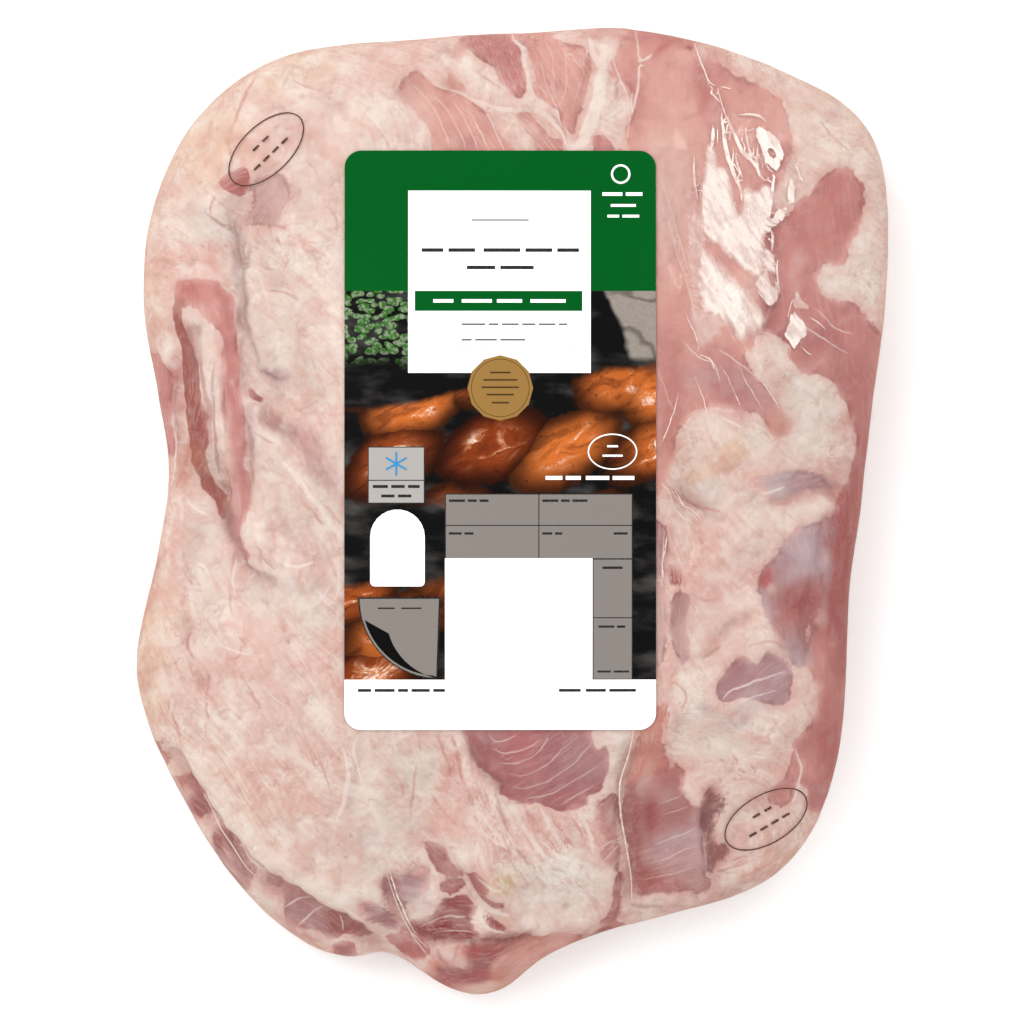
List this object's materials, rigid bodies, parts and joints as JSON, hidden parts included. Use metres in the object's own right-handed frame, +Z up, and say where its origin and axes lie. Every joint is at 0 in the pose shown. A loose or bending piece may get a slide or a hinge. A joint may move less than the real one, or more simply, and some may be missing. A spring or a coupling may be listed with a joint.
{
  "type": "raw lamb shoulder",
  "caption": "Whole raw shoulder of lamb on the bone in a clear bag shrunk tight round it, lying flat, with a rounded paper label on top.",
  "frame": {"origin": "on the flat underside, under the middle of the pack", "axes": "+Y along the length, away from the knuckle tip; +X across, towards the blade side; +Z up, out of the labelled face"},
  "size_m": [0.2261, 0.291, 0.0609],
  "materials": {
    "meat": "moist pink meat under cream fat",
    "bag_film": "clear glossy shrink film",
    "label_paper": "printed semi-gloss paper",
    "marking_ink": "dark brown ink on the film"
  },
  "bodies": {
    "root": {"shoulder_in_bag": "meat", "label": "label_paper"}
  },
  "joints": []
}
